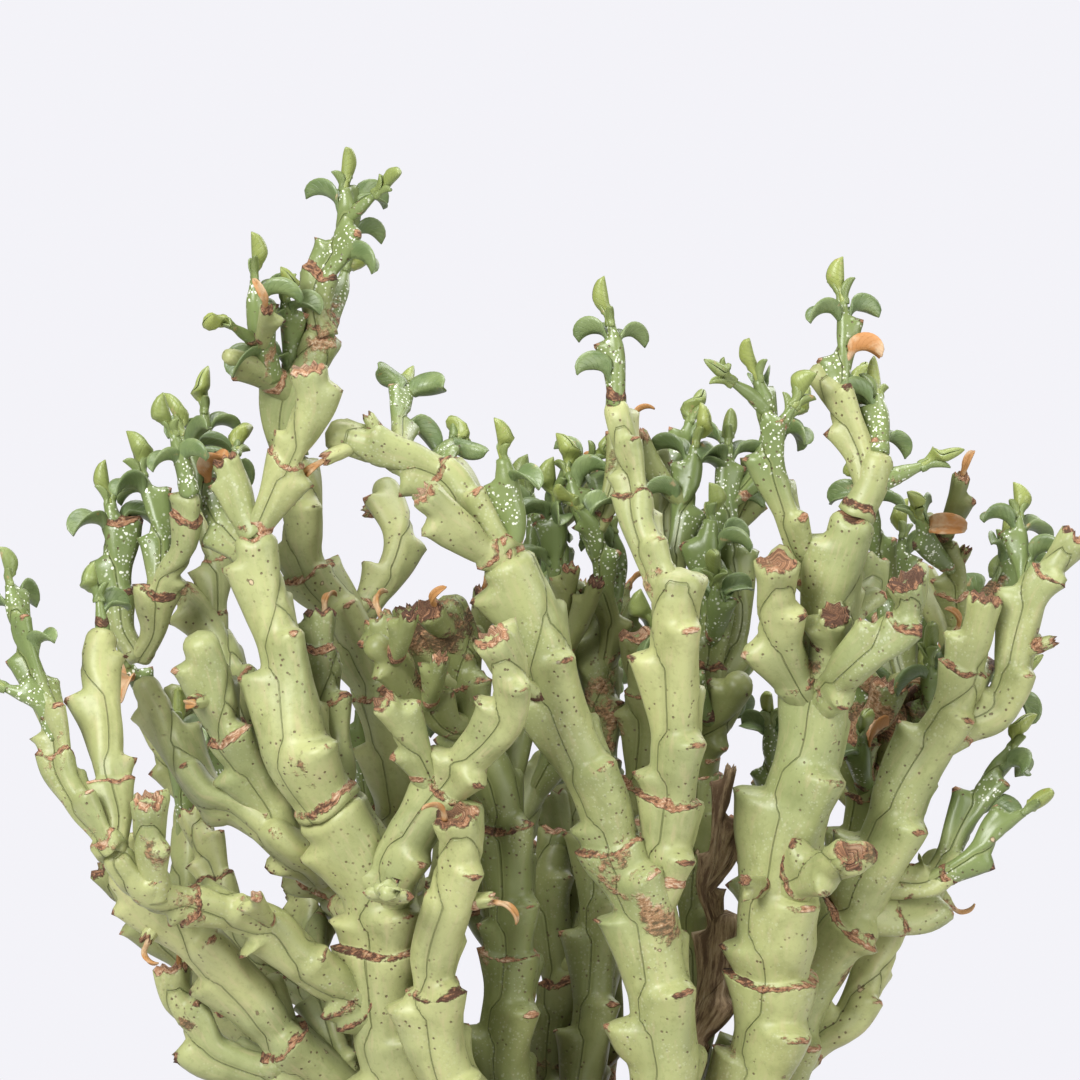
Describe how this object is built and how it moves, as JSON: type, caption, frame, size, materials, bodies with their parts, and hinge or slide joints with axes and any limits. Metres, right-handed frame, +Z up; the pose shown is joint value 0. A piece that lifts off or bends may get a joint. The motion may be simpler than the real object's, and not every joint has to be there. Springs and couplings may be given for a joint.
{
  "type": "potted euphorbia hamata",
  "caption": "Bushy succulent with knobbly, three-ranked green stems and small hooked leaves, growing from a woody crown in a tapered clay pot.",
  "frame": {"origin": "middle of the pot's flat foot", "axes": "+Z up out of the pot, -Y towards the camera of the picture, +X to its right"},
  "size_m": [0.2436, 0.1714, 0.3664],
  "materials": {
    "clay": "matte, unglazed",
    "soil": "rough, gritty",
    "bark": "rough, corky",
    "green_stem": "satin, waxy skin",
    "dry_stem": "matte, papery"
  },
  "bodies": {
    "root": {"pot": "clay", "soil": "soil", "caudex": "bark", "left_trunk": "green_stem", "left_low_stem": "green_stem", "front_left_stem": "green_stem", "tall_left_stem": "green_stem", "inner_front_stem": "green_stem", "centre_stem": "green_stem", "right_trunk": "green_stem", "right_outer_stem": "green_stem", "right_back_stem": "green_stem", "inner_right_stem": "green_stem", "inner_back_stem": "green_stem", "low_back_stem": "green_stem", "far_stem_1": "green_stem", "far_stem_2": "green_stem", "far_stem_3": "green_stem", "far_stem_4": "green_stem", "far_stem_5": "green_stem", "dry_stem": "dry_stem"}
  },
  "joints": []
}
